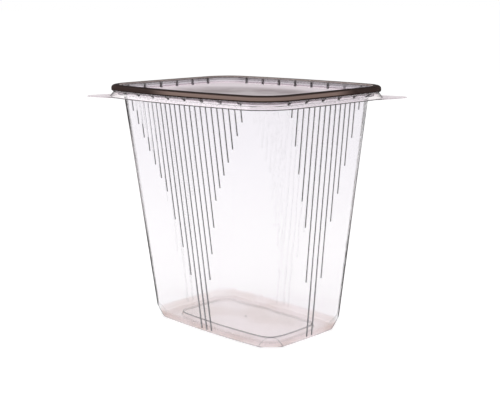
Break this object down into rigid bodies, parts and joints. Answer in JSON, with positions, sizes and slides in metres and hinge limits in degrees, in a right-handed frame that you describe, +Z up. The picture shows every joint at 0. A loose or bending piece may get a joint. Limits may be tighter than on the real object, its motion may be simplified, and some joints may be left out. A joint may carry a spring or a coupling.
{
  "type": "deli container",
  "caption": "Tall rectangular clear plastic deli container with ribbed tapered walls and a press-on lid with two pull tabs.",
  "frame": {"origin": "centre of the base, on the surface it stands on", "axes": "+Z up; +X along the long sides towards a short side; +Y towards a long side"},
  "size_m": [0.1348, 0.1014, 0.125],
  "materials": {
    "clear_sheet": "clear, glossy, faintly grey and pink at its edges",
    "clear_lid_sheet": "clear, glossy, grey-brown where the bead is seen edge-on"
  },
  "bodies": {
    "container": {"container": "clear_sheet"},
    "lid": {"lid": "clear_lid_sheet"}
  },
  "joints": [
    {"name": "lid_lift", "type": "slide", "parent": "container", "child": "lid", "axis": [0, 0, 1], "range_m": [0, 0.06]}
  ]
}
